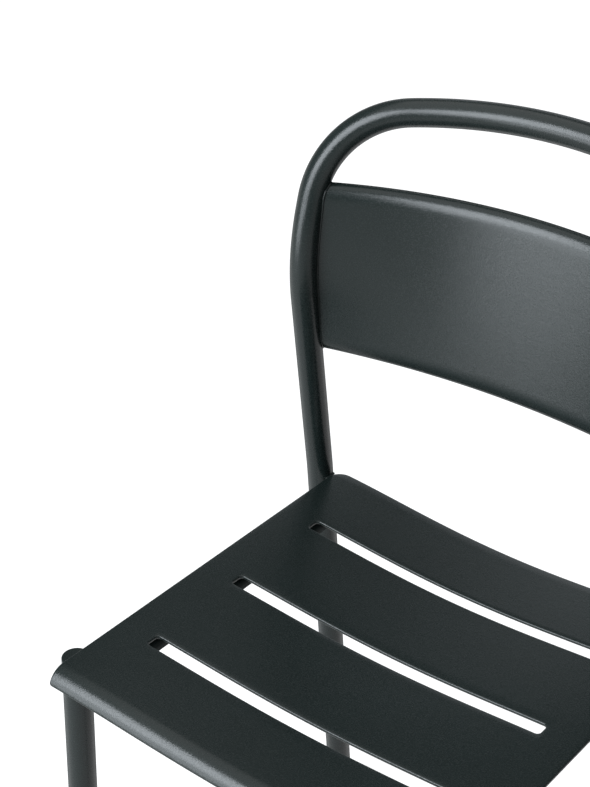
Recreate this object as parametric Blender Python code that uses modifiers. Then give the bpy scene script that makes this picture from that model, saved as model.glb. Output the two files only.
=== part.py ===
# Steel side chair: bent tube back hoop, straight front legs, slotted dished seat sheet and
# bowed back panel on a ladder frame of tubes.
# Metres, +Z up, front towards -Y, mirror plane X = 0, floor at Z = 0.
import math

import bmesh
import bpy
import numpy as np
from mathutils import Matrix, Vector

# Clearance left between neighbouring pieces
FIT_GAP = 0.0003

# Tubes
LEG_D = 0.025
LEG_WALL = 0.002
RAIL_D = 0.022
RAIL_WALL = 0.002

# Seat sheet; the height is the top of its side edge half way along
SEAT_HEIGHT = 0.450
SEAT_TILT = math.radians(2.07)
SEAT_HALF_WIDTH = 0.1931
SEAT_DEPTH = 0.3964
SEAT_SHEET_T = 0.0035
SEAT_DISH = 0.0097
SEAT_DISH_TAPER = 0.257
SEAT_DISH_SHAPE = (-0.695, -0.10)
SEAT_REAR_CORNER_R = 0.015
SEAT_FRONT_CORNER_R = 0.003
SEAT_EDGE_BREAK = 0.0006
LIP_R = 0.018
LIP_ANGLE = math.radians(76.5)

# Slots across the seat; their pitch is a share of the seat's depth
SLOT_PITCH_SHARE = 0.28
SLOT_MID_Y = 0.0012
SLOT_WIDTH = 0.0137
SLOT_END_MARGIN = 0.0357
SLOT_CORNER_R = 0.0035

# Back hoop: rear leg, upright, corner and bowed top rail
HOOP_INSET = 0.0117
REAR_LEG_LEAN = math.radians(5.43)
UPRIGHT_LEAN = math.radians(6.25)
UPRIGHT_SPLAY = math.radians(0.90)
SEAT_BEND_R = 0.300
UPRIGHT_STRAIGHT = 0.1927
BACK_BEND_R = 0.2058
BACK_BEND_ANGLE = math.radians(23.73)
UPRIGHT_TOP_STRAIGHT = 0.0103
CORNER_R = 0.0951
RAIL_BOW_ANGLE = math.radians(23.5)
RAIL_BOW_RISE = math.radians(18.8)

# Back panel; it hangs below the middle of the top rail, and its bows are depths in plan
PANEL_T = 0.0025
PANEL_DROP = 0.0747
PANEL_HEIGHT = 0.1663
PANEL_FORWARD_BOTTOM = 0.0020
PANEL_FORWARD_TOP = 0.0107
PANEL_STRAIGHTER = 0.55
PANEL_BOW_BOTTOM = 0.0310
PANEL_BOW_TOP = 0.0591
PANEL_ROLL_LENGTH = 0.024
PANEL_ROLL_ANGLE = math.radians(80.0)
PANEL_ROLL_EASE = 2.2
PANEL_END_SHARE = 0.4

# Front legs and their caps
FRONT_LEG_INSET = 0.0002
FRONT_LEG_SETBACK = 0.0333
FRONT_LEG_LEAN = math.radians(2.0)
FRONT_LEG_DROP = 0.0042
LEG_CAP_T = 0.0025

# Foot glides
GLIDE_PAD_H = 0.006
GLIDE_PLUG_LEN = 0.018
GLIDE_PLUG_LEAD = 0.0015
GLIDE_EDGE = 0.0012

# Fineness of the curved faces
LEG_SIDES = 20
RAIL_SIDES = 18
CUTTER_SIDES = 32
SEAT_STRIPS = 24
LIP_STEPS = 6
PANEL_COLUMNS = 24
PANEL_BODY_ROWS = 8
PANEL_ROLL_ROWS = 6

# Worked out from the sizes above
LEG_R = LEG_D / 2
RAIL_R = RAIL_D / 2
SEAT_REAR_Y = SEAT_DEPTH / 2
LIP_FRONT_Y = -SEAT_DEPTH / 2
SLOT_PITCH = SLOT_PITCH_SHARE * SEAT_DEPTH
HOOP_X = SEAT_HALF_WIDTH + LEG_R + FIT_GAP
HOOP_Y = SEAT_REAR_Y - HOOP_INSET
FRONT_LEG_X = SEAT_HALF_WIDTH - FRONT_LEG_INSET
FRONT_LEG_Y = LIP_FRONT_Y + FRONT_LEG_SETBACK
SIDE_RAIL_X = FRONT_LEG_X - LEG_R - RAIL_R - FIT_GAP
LIP_START_Y = LIP_FRONT_Y + LIP_R * math.sin(LIP_ANGLE)

POWDER_COAT = (0.022, 0.029, 0.029, 1.0)
GLIDE_PLASTIC = (0.012, 0.012, 0.012, 1.0)


def clear_scene():
    for ob in list(bpy.data.objects):
        bpy.data.objects.remove(ob, do_unlink=True)


def new_collection(name):
    coll = bpy.data.collections.new(name)
    bpy.context.scene.collection.children.link(coll)
    return coll


def add_object(name, data, collection):
    ob = bpy.data.objects.new(name, data)
    collection.objects.link(ob)
    return ob


def make_cutter(ob):
    """Keep a cutting body out of the model."""
    ob.hide_render = True
    ob.display_type = 'WIRE'
    return ob


def as_mesh(ob):
    """Replace an object by one that holds its evaluated shape as a welded mesh."""
    bpy.context.view_layer.update()
    deps = bpy.context.evaluated_depsgraph_get()
    mesh = bpy.data.meshes.new_from_object(ob.evaluated_get(deps))
    name, matrix, collection = ob.name, ob.matrix_world.copy(), ob.users_collection[0]
    bpy.data.objects.remove(ob, do_unlink=True)
    bm = bmesh.new()
    bm.from_mesh(mesh)
    bmesh.ops.remove_doubles(bm, verts=bm.verts, dist=1e-6)
    bmesh.ops.recalc_face_normals(bm, faces=bm.faces)
    bm.to_mesh(mesh)
    bm.free()
    result = add_object(name, mesh, collection)
    result.matrix_world = matrix
    return result


def paint(ob, colour, roughness):
    mat = bpy.data.materials.new(ob.name)
    mat.use_nodes = True
    bsdf = mat.node_tree.nodes["Principled BSDF"]
    bsdf.inputs["Base Color"].default_value = colour
    bsdf.inputs["Metallic"].default_value = 0.0
    bsdf.inputs["Roughness"].default_value = roughness
    ob.data.materials.clear()
    ob.data.materials.append(mat)
    ob.data.shade_smooth()
    ob.data.set_sharp_from_angle(angle=math.radians(35.0))


def round_curve(name, points, radius, sides, capped, collection):
    """Poly curve with a round bevel."""
    curve = bpy.data.curves.new(name, 'CURVE')
    curve.dimensions = '3D'
    curve.bevel_depth = radius
    curve.bevel_resolution = sides // 2 - 2
    curve.use_fill_caps = capped
    spline = curve.splines.new('POLY')
    spline.points.add(len(points) - 1)
    for target, p in zip(spline.points, points):
        target.co = (p[0], p[1], p[2], 1.0)
    return as_mesh(add_object(name, curve, collection))


def tube(name, points, radius, wall, sides):
    """Hollow tube, open at both ends."""
    ob = round_curve(name, points, radius, sides, False, CHAIR)
    shell = ob.modifiers.new("wall", 'SOLIDIFY')
    shell.thickness = wall
    shell.offset = -1.0
    shell.use_even_offset = True
    return ob


def tube_cutter(name, points, radius):
    return make_cutter(round_curve(name, points, radius + FIT_GAP, CUTTER_SIDES, True, CUTTERS))


def cut(ob, cutters):
    """Take the cutters away from a piece and merge the slivers that this leaves."""
    for c in cutters:
        mod = ob.modifiers.new(c.name, 'BOOLEAN')
        mod.operation = 'DIFFERENCE'
        mod.solver = 'EXACT'
        mod.object = c
    weld = ob.modifiers.new("weld", 'WELD')
    weld.merge_threshold = 0.00002
    return ob


def rotated(v, axis, angle):
    return np.array(Matrix.Rotation(angle, 3, Vector(axis)) @ Vector(v))


def seat_edge_z(y):
    """Height of the top of the sheet along its side edges."""
    return SEAT_HEIGHT - math.tan(SEAT_TILT) * y


def seat_dish(x, y):
    """Depth of the hollow in the sheet."""
    u2 = (x / SEAT_HALF_WIDTH) ** 2
    k1, k2 = SEAT_DISH_SHAPE
    depth = SEAT_DISH * (1 + SEAT_DISH_TAPER * y / SEAT_REAR_Y)
    return depth * (1 - u2) * (1 + k1 * u2 + k2 * u2 * u2)


def under_sheet(x, y):
    """Centre height of a rail that just clears the sheet above it."""
    return seat_edge_z(y) - seat_dish(x, y) - SEAT_SHEET_T - FIT_GAP - RAIL_R


def arc_points(start, direction, axis, radius, angle, steps):
    """Points along an arc that leaves start along direction; also its end direction."""
    points, d = [], direction
    for _ in range(steps):
        turned = rotated(d, axis, angle / steps)
        chord = 2 * radius * math.sin(angle / steps / 2)
        start = start + (d + turned) / np.linalg.norm(d + turned) * chord
        d = turned
        points.append(start)
    return points, d


def half_hoop():
    """Left half of the hoop's centre line, from the foot to the middle of the top rail."""
    leg = np.array([0.0, -math.tan(REAR_LEG_LEAN), 1.0])
    up = np.array([-math.tan(UPRIGHT_SPLAY), -math.tan(UPRIGHT_LEAN), 1.0])
    leg, up = leg / np.linalg.norm(leg), up / np.linalg.norm(up)
    base = np.array([-HOOP_X, HOOP_Y, SEAT_HEIGHT])

    # Rear leg and the slight bend where it passes the seat
    axis = np.cross(leg, up)
    bend = math.asin(np.linalg.norm(axis))
    half = SEAT_BEND_R * math.tan(bend / 2)
    points = [base - leg * (SEAT_HEIGHT - GLIDE_PAD_H) / leg[2], base - leg * half]
    bent, d = arc_points(points[-1], leg, axis, SEAT_BEND_R, bend, 2)
    points += bent

    # Upright, leaning forward at first and then bent back
    points.append(points[-1] + d * (UPRIGHT_STRAIGHT - half))
    bent, d = arc_points(points[-1], d, (-1.0, 0.0, 0.0), BACK_BEND_R, BACK_BEND_ANGLE, 7)
    points += bent
    points.append(points[-1] + d * UPRIGHT_TOP_STRAIGHT)

    # Corner into the direction in which the top rail sets off
    side = np.array([1.0, 0.0, 0.0])
    back = np.array([0.0, math.cos(RAIL_BOW_RISE), math.sin(RAIL_BOW_RISE)])
    sine, cosine = math.sin(RAIL_BOW_ANGLE), math.cos(RAIL_BOW_ANGLE)
    into = cosine * side + sine * back
    axis = np.cross(d, into)
    angle = math.atan2(np.linalg.norm(axis), float(d @ into))
    bent, d = arc_points(points[-1], d, axis, CORNER_R, angle, 14)
    points += bent

    # Half of the bowed top rail
    start, steps = points[-1], 8
    radius = -start[0] / sine
    for k in range(1, steps + 1):
        a = RAIL_BOW_ANGLE * (1 - k / steps)
        points.append(start + radius * ((sine - math.sin(a)) * side + (math.cos(a) - cosine) * back))
    points[-1][0] = 0.0
    return points


clear_scene()
CHAIR = new_collection("steel_side_chair")
CUTTERS = new_collection("cutters")

# Back hoop: one bent tube, open at both feet
left_line = half_hoop()
flip = np.array([-1.0, 1.0, 1.0])
hoop_points = left_line + [p * flip for p in left_line[-2::-1]]
paint(tube("back_hoop", hoop_points, LEG_R, LEG_WALL, LEG_SIDES), POWDER_COAT, 0.5)
hoop_cutter = tube_cutter("hoop_cutter", hoop_points, LEG_R)


# Seat sheet: flat blank with rounded corners and slots, then dished and rolled down in front
def rounded_rectangle(x_half, y0, y1, front_r, rear_r, steps):
    """Outline from its front left corner round to its rear left one."""
    out = []
    corners = ((-x_half, y0, 180.0, front_r), (x_half, y0, 270.0, front_r),
               (x_half, y1, 0.0, rear_r), (-x_half, y1, 90.0, rear_r))
    for cx, cy, start, r in corners:
        ox = cx - math.copysign(r, cx)
        oy = cy + r if cy == y0 else cy - r
        for k in range(steps + 1):
            a = math.radians(start + 90.0 * k / steps)
            out.append((ox + r * math.cos(a), oy + r * math.sin(a)))
    return out


def seat_point(x, v, w):
    """Formed position of a point of the blank; v along the sheet, w above its top."""
    a = max(0.0, (LIP_START_Y - v) / LIP_R)
    y = max(v, LIP_START_Y) - (LIP_R + w) * math.sin(a)
    z = (LIP_R + w) * math.cos(a) - LIP_R
    return Vector((x, y, seat_edge_z(y) + z - seat_dish(x, y)))


blank_front = LIP_START_Y - LIP_R * LIP_ANGLE
outlines = [rounded_rectangle(SEAT_HALF_WIDTH, blank_front, SEAT_REAR_Y,
                              SEAT_FRONT_CORNER_R, SEAT_REAR_CORNER_R, 6)]
for k in (-1, 0, 1):
    y = SLOT_MID_Y + k * SLOT_PITCH
    outlines.append(rounded_rectangle(SEAT_HALF_WIDTH - SLOT_END_MARGIN, y - SLOT_WIDTH / 2,
                                      y + SLOT_WIDTH / 2, SLOT_CORNER_R, SLOT_CORNER_R, 4))
blank = bpy.data.curves.new("seat_sheet", 'CURVE')
blank.dimensions = '2D'
blank.fill_mode = 'BOTH'
blank.extrude = SEAT_SHEET_T / 2
for outline in outlines:
    spline = blank.splines.new('POLY')
    spline.use_cyclic_u = True
    spline.points.add(len(outline) - 1)
    for target, (x, y) in zip(spline.points, outline):
        target.co = (x, y, 0.0, 1.0)
seat = as_mesh(add_object("seat_sheet", blank, CHAIR))

bm = bmesh.new()
bm.from_mesh(seat.data)
bmesh.ops.translate(bm, verts=bm.verts, vec=(0.0, 0.0, -SEAT_SHEET_T / 2))
bmesh.ops.dissolve_limit(bm, angle_limit=math.radians(1.0), verts=bm.verts, edges=bm.edges)
rim = [e for e in bm.edges
       if abs(e.verts[0].co.z - e.verts[1].co.z) < 1e-7 and e.calc_face_angle() > math.radians(60.0)]
bmesh.ops.bevel(bm, geom=rim, offset=SEAT_EDGE_BREAK, segments=1, affect='EDGES', profile=0.5)
bends = [((2 * k / SEAT_STRIPS - 1) * SEAT_HALF_WIDTH, 0) for k in range(1, SEAT_STRIPS)]
bends += [(LIP_START_Y - LIP_R * LIP_ANGLE * k / LIP_STEPS, 1) for k in range(LIP_STEPS)]
for place, direction in bends:
    plane = Vector((0.0, 0.0, 0.0))
    plane[direction] = 1.0
    bmesh.ops.bisect_plane(bm, geom=bm.verts[:] + bm.edges[:] + bm.faces[:],
                           plane_co=plane * place, plane_no=plane, dist=1e-7)
bmesh.ops.triangulate(bm, faces=bm.faces)
for v in bm.verts:
    v.co = seat_point(*v.co)
bm.to_mesh(seat.data)
bm.free()
paint(seat, POWDER_COAT, 0.5)


# Back panel: bowed sheet whose ends follow the uprights and whose long edges roll back
panel_top = left_line[-1][2] - SEAT_HEIGHT - PANEL_DROP
panel_bottom = panel_top - PANEL_HEIGHT


def upright_centre(z):
    """Centre of the left upright at a height above the seat."""
    line = [p for p in left_line if p[0] < -0.75 * HOOP_X]
    k = next(i for i, p in enumerate(line) if p[2] >= SEAT_HEIGHT + z)
    low, high = line[k - 1], line[k]
    return low + (high - low) * (SEAT_HEIGHT + z - low[2]) / (high[2] - low[2])


low_centre = upright_centre(panel_bottom)
high_centre = upright_centre(panel_top)


def panel_point(u, z):
    """Front face of the panel's body; u runs from -1 at the left tube to 1 at the right one."""
    c = upright_centre(z)
    share = (z - panel_bottom) / PANEL_HEIGHT
    chord = low_centre[1] + (high_centre[1] - low_centre[1]) * share
    forward = PANEL_FORWARD_BOTTOM + (PANEL_FORWARD_TOP - PANEL_FORWARD_BOTTOM) * share
    end_y = c[1] - forward + PANEL_STRAIGHTER * (chord - c[1])
    middle_y = chord - forward + PANEL_BOW_BOTTOM + (PANEL_BOW_TOP - PANEL_BOW_BOTTOM) * share
    sag = middle_y - end_y
    radius = (c[0] ** 2 + sag ** 2) / (2 * sag)
    x = -c[0] * u
    return np.array([x, end_y + math.sqrt(radius ** 2 - x ** 2) - (radius - sag), SEAT_HEIGHT + z])


roll_arc = np.linspace(0.0, PANEL_ROLL_LENGTH, 200)
roll_turn = PANEL_ROLL_ANGLE * (roll_arc / PANEL_ROLL_LENGTH) ** PANEL_ROLL_EASE
roll_rise = np.concatenate([[0.0], np.cumsum(np.cos(roll_turn[1:]) * roll_arc[1])])
roll_back = np.concatenate([[0.0], np.cumsum(np.sin(roll_turn[1:]) * roll_arc[1])])


def panel_rolled(u, z, length):
    """Front face at a length along the roll that starts at height z; a negative length goes down."""
    p = panel_point(u, z)
    up = panel_point(u, z + 0.0005) - panel_point(u, z - 0.0005)
    side = panel_point(u + 0.01, z) - panel_point(u - 0.01, z)
    back = np.cross(up, side)
    back *= math.copysign(1.0, back[1]) / np.linalg.norm(back)
    up /= np.linalg.norm(up)
    rise = math.copysign(np.interp(abs(length), roll_arc, roll_rise), length)
    return p + rise * up + np.interp(abs(length), roll_arc, roll_back) * back


body_low, body_high = panel_bottom + roll_rise[-1], panel_top - roll_rise[-1]
roll_rows = [PANEL_ROLL_LENGTH * (k / PANEL_ROLL_ROWS) ** (1 / PANEL_ROLL_EASE)
             for k in range(1, PANEL_ROLL_ROWS + 1)]
stations = [(body_low, -length) for length in reversed(roll_rows)]
stations += [(body_low + (body_high - body_low) * k / PANEL_BODY_ROWS, 0.0)
             for k in range(PANEL_BODY_ROWS + 1)]
stations += [(body_high, length) for length in roll_rows]
panel_reach = 1 - PANEL_END_SHARE * LEG_R / HOOP_X
bm = bmesh.new()
bmesh.ops.create_grid(bm, x_segments=PANEL_COLUMNS, y_segments=len(stations) - 1, size=1.0)
for v in bm.verts:
    row = round((v.co.y + 1.0) / 2.0 * (len(stations) - 1))
    v.co = panel_rolled(v.co.x * panel_reach, *stations[row])
mesh = bpy.data.meshes.new("back_panel")
bm.to_mesh(mesh)
bm.free()
panel = add_object("back_panel", mesh, CHAIR)
shell = panel.modifiers.new("thickness", 'SOLIDIFY')
shell.thickness = PANEL_T
shell.offset = 1.0
shell.use_even_offset = True
cut(panel, [hoop_cutter])
paint(panel, POWDER_COAT, 0.5)

# Front legs with their caps, upright tubes that lean forward a little towards the floor
leg_top_z = seat_edge_z(FRONT_LEG_Y) - FRONT_LEG_DROP
leg_run = math.tan(FRONT_LEG_LEAN)
front_leg_cutters = []
for side, word in ((-1, "left"), (1, "right")):
    top = np.array([side * FRONT_LEG_X, FRONT_LEG_Y, leg_top_z])
    foot = top - np.array([0.0, leg_run, 1.0]) * (leg_top_z - GLIDE_PAD_H)
    beyond = top + (top - foot) * 0.1
    paint(tube("front_leg_" + word, [foot, top], LEG_R, LEG_WALL, LEG_SIDES), POWDER_COAT, 0.5)
    front_leg_cutters.append(tube_cutter("front_leg_cutter_" + word, [foot, beyond], LEG_R))

    bm = bmesh.new()
    bmesh.ops.create_cone(bm, cap_ends=True, segments=LEG_SIDES, depth=LEG_CAP_T,
                          radius1=LEG_R - LEG_WALL - FIT_GAP, radius2=LEG_R - LEG_WALL - FIT_GAP)
    mesh = bpy.data.meshes.new("leg_cap_" + word)
    bm.to_mesh(mesh)
    bm.free()
    cap = add_object("leg_cap_" + word, mesh, CHAIR)
    cap.rotation_euler = (-FRONT_LEG_LEAN, 0.0, 0.0)
    cap.location = top - np.array([0.0, math.sin(FRONT_LEG_LEAN), math.cos(FRONT_LEG_LEAN)]) * LEG_CAP_T / 2
    paint(cap, POWDER_COAT, 0.5)

# Frame under the seat: two cross rails from leg to leg and two side rails saddled onto them
drop = SEAT_DISH + SEAT_SHEET_T + RAIL_R
front_y = FRONT_LEG_Y - leg_run * drop
rear_y = HOOP_Y + math.tan(REAR_LEG_LEAN) * drop
front_z = under_sheet(0.0, front_y + RAIL_R)
rear_z = under_sheet(0.0, SEAT_REAR_Y)
front_line = [(-FRONT_LEG_X, front_y, front_z), (FRONT_LEG_X, front_y, front_z)]
rear_line = [(-HOOP_X, rear_y, rear_z), (HOOP_X, rear_y, rear_z)]
rail = tube("front_cross_rail", front_line, RAIL_R, RAIL_WALL, RAIL_SIDES)
paint(cut(rail, front_leg_cutters), POWDER_COAT, 0.5)
rail = tube("rear_cross_rail", rear_line, RAIL_R, RAIL_WALL, RAIL_SIDES)
paint(cut(rail, [hoop_cutter]), POWDER_COAT, 0.5)
rail_cutters = [tube_cutter("front_rail_cutter", front_line, RAIL_R),
                tube_cutter("rear_rail_cutter", rear_line, RAIL_R)]
high_side = SIDE_RAIL_X - 0.2 * RAIL_R
for side, word in ((-1, "left"), (1, "right")):
    ends = [(side * SIDE_RAIL_X, y, under_sheet(high_side, y)) for y in (front_y, rear_y)]
    rail = tube("side_rail_" + word, ends, RAIL_R, RAIL_WALL, RAIL_SIDES)
    paint(cut(rail, rail_cutters), POWDER_COAT, 0.5)


# Foot glides: a plug in the open tube end and a pad as wide as the tube, cut level at the floor
def foot_glide(name, foot, lean):
    """lean is the angle by which the leg tips forward above its foot."""
    bore = LEG_R - LEG_WALL - FIT_GAP
    profile = ((0.0, -3 * GLIDE_PAD_H), (LEG_R, -3 * GLIDE_PAD_H), (LEG_R, -FIT_GAP),
               (bore, -FIT_GAP), (bore, GLIDE_PLUG_LEN - GLIDE_PLUG_LEAD),
               (bore - GLIDE_PLUG_LEAD, GLIDE_PLUG_LEN), (0.0, GLIDE_PLUG_LEN))
    mesh = bpy.data.meshes.new(name)
    mesh.from_pydata([(x, 0.0, z) for x, z in profile[::-1]],
                     [(i, i + 1) for i in range(len(profile) - 1)], [])
    ob = add_object(name, mesh, CHAIR)
    turn = ob.modifiers.new("turn", 'SCREW')
    turn.steps = turn.render_steps = LEG_SIDES
    turn.use_merge_vertices = True
    turn.merge_threshold = 0.00001
    ob.rotation_euler = (lean, 0.0, 0.0)
    ob.location = foot
    ob = as_mesh(ob)
    bm = bmesh.new()
    bm.from_mesh(ob.data)
    bmesh.ops.transform(bm, matrix=ob.matrix_world, verts=bm.verts)
    floor_cut = bmesh.ops.bisect_plane(bm, geom=bm.verts[:] + bm.edges[:] + bm.faces[:],
                                       plane_co=(0, 0, 0), plane_no=(0, 0, -1), clear_outer=True)
    edges = [e for e in floor_cut["geom_cut"] if isinstance(e, bmesh.types.BMEdge)]
    sole = bmesh.ops.edgeloop_fill(bm, edges=edges)["faces"][0]
    bmesh.ops.bevel(bm, geom=list(sole.edges), offset=GLIDE_EDGE, segments=2, affect='EDGES', profile=0.5)
    bmesh.ops.recalc_face_normals(bm, faces=bm.faces)
    bmesh.ops.transform(bm, matrix=ob.matrix_world.inverted(), verts=bm.verts)
    bm.to_mesh(ob.data)
    bm.free()
    paint(ob, GLIDE_PLASTIC, 0.6)


for side, word in ((-1, "left"), (1, "right")):
    foot = (side * FRONT_LEG_X, FRONT_LEG_Y - leg_run * (leg_top_z - GLIDE_PAD_H), GLIDE_PAD_H)
    foot_glide("foot_glide_front_" + word, foot, -FRONT_LEG_LEAN)
    foot_glide("foot_glide_rear_" + word, (side * HOOP_X, left_line[0][1], left_line[0][2]), REAR_LEG_LEAN)

# Origin: floor level under the centre of the overall plan rectangle
bpy.context.view_layer.update()
deps = bpy.context.evaluated_depsgraph_get()
ys = [(ob.matrix_world @ v.co).y for ob in CHAIR.objects for v in ob.evaluated_get(deps).data.vertices]
centre_y = (min(ys) + max(ys)) / 2
for ob in list(CHAIR.objects) + list(CUTTERS.objects):
    ob.location.y -= centre_y
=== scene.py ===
import math

import bmesh
import bpy
import numpy as np
from mathutils import Matrix, Vector


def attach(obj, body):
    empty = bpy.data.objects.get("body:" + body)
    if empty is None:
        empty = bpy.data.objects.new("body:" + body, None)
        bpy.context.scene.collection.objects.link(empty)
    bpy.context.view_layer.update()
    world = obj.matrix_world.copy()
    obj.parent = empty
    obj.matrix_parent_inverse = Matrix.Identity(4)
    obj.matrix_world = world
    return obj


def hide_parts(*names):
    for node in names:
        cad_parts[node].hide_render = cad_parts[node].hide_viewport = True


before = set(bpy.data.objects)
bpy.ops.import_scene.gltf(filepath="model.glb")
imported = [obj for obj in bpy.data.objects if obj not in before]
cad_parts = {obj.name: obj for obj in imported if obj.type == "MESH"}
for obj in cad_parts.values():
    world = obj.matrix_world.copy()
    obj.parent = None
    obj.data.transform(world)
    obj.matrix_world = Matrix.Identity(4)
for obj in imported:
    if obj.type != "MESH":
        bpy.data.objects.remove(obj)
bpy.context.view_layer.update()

# Back hoop
# One length of 25 mm round steel tube with a 2 mm wall, bent on a mandrel into both rear legs, both
# uprights and the bowed top rail. It is powder coated after welding, in a very dark green-grey with
# a fine matt grain.
SEAT_MIDDLE_Y = -0.035389
SEAT_HEIGHT = 0.450
SEAT_DEPTH = 0.3964
SEAT_HALF_WIDTH = 0.1931
WELD_GAP = 0.0003
TUBE_R = 0.0125
TUBE_WALL = 0.002
TUBE_SIDES = 56
HOOP_X = SEAT_HALF_WIDTH + TUBE_R + WELD_GAP
HOOP_Y = SEAT_DEPTH / 2 - 0.0117
REAR_LEG_LEAN = math.radians(5.43)
UPRIGHT_LEAN = math.radians(6.25)
UPRIGHT_SPLAY = math.radians(0.90)
SEAT_BEND_R = 0.300
UPRIGHT_STRAIGHT = 0.1927
BACK_BEND_R = 0.2058
BACK_BEND = math.radians(23.73)
UPRIGHT_TOP = 0.0103
CORNER_R = 0.0951
RAIL_BOW = math.radians(23.5)
RAIL_RISE = math.radians(18.8)
GLIDE_PAD = 0.006
LEG_STEPS = 12
UPRIGHT_STEPS = 8
BACK_BEND_STEPS = 28
CORNER_STEPS = 56
RAIL_STEPS = 40


def node(tree, kind, place=(0, 0), **settings):
    """Add a node to a tree at a place and set its properties."""
    n = tree.nodes.new(kind)
    n.location = place
    for key, value in settings.items():
        setattr(n, key, value)
    return n


MOTTLE_PER_METRE = 22.0
PEEL_PER_METRE = 260.0
GRAIN_SHARE = 0.55
PEEL_DEPTH_SHARE = 0.3


def grain_group():
    """Fine powder-coat texture: flecks, slow mottle, matt grain and a light orange peel."""
    tree = bpy.data.node_groups.new("powder_grain", 'ShaderNodeTree')
    face = tree.interface
    inputs = (("Vector", 'NodeSocketVector'), ("Light colour", 'NodeSocketColor'),
              ("Dark colour", 'NodeSocketColor'), ("Grains per metre", 'NodeSocketFloat'),
              ("Roughness", 'NodeSocketFloat'), ("Roughness spread", 'NodeSocketFloat'))
    outputs = (("Colour", 'NodeSocketColor'), ("Roughness", 'NodeSocketFloat'), ("Height", 'NodeSocketFloat'))
    for way, sockets in (('INPUT', inputs), ('OUTPUT', outputs)):
        for label, kind in sockets:
            face.new_socket(name=label, in_out=way, socket_type=kind)
    source = node(tree, 'NodeGroupInput', (-900, 0))
    result = node(tree, 'NodeGroupOutput', (700, 0))

    grain = node(tree, 'ShaderNodeTexNoise', (-600, 200))
    grain.inputs["Detail"].default_value = 2.0
    grain.inputs["Roughness"].default_value = 0.6
    mottle = node(tree, 'ShaderNodeTexNoise', (-600, -50))
    mottle.inputs["Scale"].default_value = MOTTLE_PER_METRE
    mottle.inputs["Detail"].default_value = 3.0
    peel = node(tree, 'ShaderNodeTexNoise', (-600, -300))
    peel.inputs["Scale"].default_value = PEEL_PER_METRE
    peel.inputs["Detail"].default_value = 1.0
    for n in (grain, mottle, peel):
        tree.links.new(source.outputs["Vector"], n.inputs["Vector"])
    tree.links.new(source.outputs["Grains per metre"], grain.inputs["Scale"])

    blend = node(tree, 'ShaderNodeMath', (-350, 50), operation='MULTIPLY_ADD')
    blend.inputs[1].default_value = GRAIN_SHARE
    tree.links.new(grain.outputs["Fac"], blend.inputs[0])
    slow = node(tree, 'ShaderNodeMath', (-350, -100), operation='MULTIPLY')
    slow.inputs[1].default_value = 1.0 - GRAIN_SHARE
    tree.links.new(mottle.outputs["Fac"], slow.inputs[0])
    tree.links.new(slow.outputs[0], blend.inputs[2])
    mix = node(tree, 'ShaderNodeMix', (0, 150), data_type='RGBA')
    tree.links.new(blend.outputs[0], mix.inputs[0])
    tree.links.new(source.outputs["Dark colour"], mix.inputs[6])
    tree.links.new(source.outputs["Light colour"], mix.inputs[7])
    tree.links.new(mix.outputs[2], result.inputs["Colour"])

    centred = node(tree, 'ShaderNodeMath', (-150, -100), operation='SUBTRACT')
    centred.inputs[1].default_value = 0.5
    tree.links.new(grain.outputs["Fac"], centred.inputs[0])
    rough = node(tree, 'ShaderNodeMath', (100, -100), operation='MULTIPLY_ADD')
    tree.links.new(centred.outputs[0], rough.inputs[0])
    tree.links.new(source.outputs["Roughness spread"], rough.inputs[1])
    tree.links.new(source.outputs["Roughness"], rough.inputs[2])
    tree.links.new(rough.outputs[0], result.inputs["Roughness"])

    height = node(tree, 'ShaderNodeMath', (100, -300), operation='MULTIPLY_ADD')
    height.inputs[1].default_value = PEEL_DEPTH_SHARE
    tree.links.new(peel.outputs["Fac"], height.inputs[0])
    tree.links.new(grain.outputs["Fac"], height.inputs[2])
    tree.links.new(height.outputs[0], result.inputs["Height"])
    return tree


GRAIN = grain_group()
HAZE_START = 0.5
EDGE_HAZE = 0.45


def coat_material(name, light, dark, roughness, spread, grains, bump, specular):
    """Coated or moulded surface: grain from the shared group, and duller where it is seen edge-on."""
    mat = bpy.data.materials.new(name)
    mat.use_nodes = True
    tree = mat.node_tree
    shader = tree.nodes["Principled BSDF"]
    shader.inputs["Specular IOR Level"].default_value = specular
    coords = node(tree, 'ShaderNodeTexCoord', (-900, 0))
    group = node(tree, 'ShaderNodeGroup', (-600, 0), node_tree=GRAIN)
    group.inputs["Light colour"].default_value = (*light, 1.0)
    group.inputs["Dark colour"].default_value = (*dark, 1.0)
    group.inputs["Grains per metre"].default_value = grains
    group.inputs["Roughness"].default_value = roughness
    group.inputs["Roughness spread"].default_value = spread
    relief = node(tree, 'ShaderNodeBump', (-300, -200))
    relief.inputs["Strength"].default_value = 1.0
    relief.inputs["Distance"].default_value = bump
    tree.links.new(coords.outputs["Object"], group.inputs["Vector"])
    tree.links.new(group.outputs["Colour"], shader.inputs["Base Color"])
    edge_on = node(tree, 'ShaderNodeLayerWeight', (-600, 300))
    haze = node(tree, 'ShaderNodeMapRange', (-400, 300))
    haze.inputs["From Min"].default_value = HAZE_START
    haze.inputs["From Max"].default_value = 1.0
    haze.inputs["To Max"].default_value = EDGE_HAZE
    dulled = node(tree, 'ShaderNodeMath', (-150, 200), operation='ADD')
    tree.links.new(edge_on.outputs["Facing"], haze.inputs["Value"])
    tree.links.new(haze.outputs["Result"], dulled.inputs[0])
    tree.links.new(group.outputs["Roughness"], dulled.inputs[1])
    tree.links.new(dulled.outputs[0], shader.inputs["Roughness"])
    tree.links.new(group.outputs["Height"], relief.inputs["Height"])
    tree.links.new(relief.outputs["Normal"], shader.inputs["Normal"])
    return mat


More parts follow.
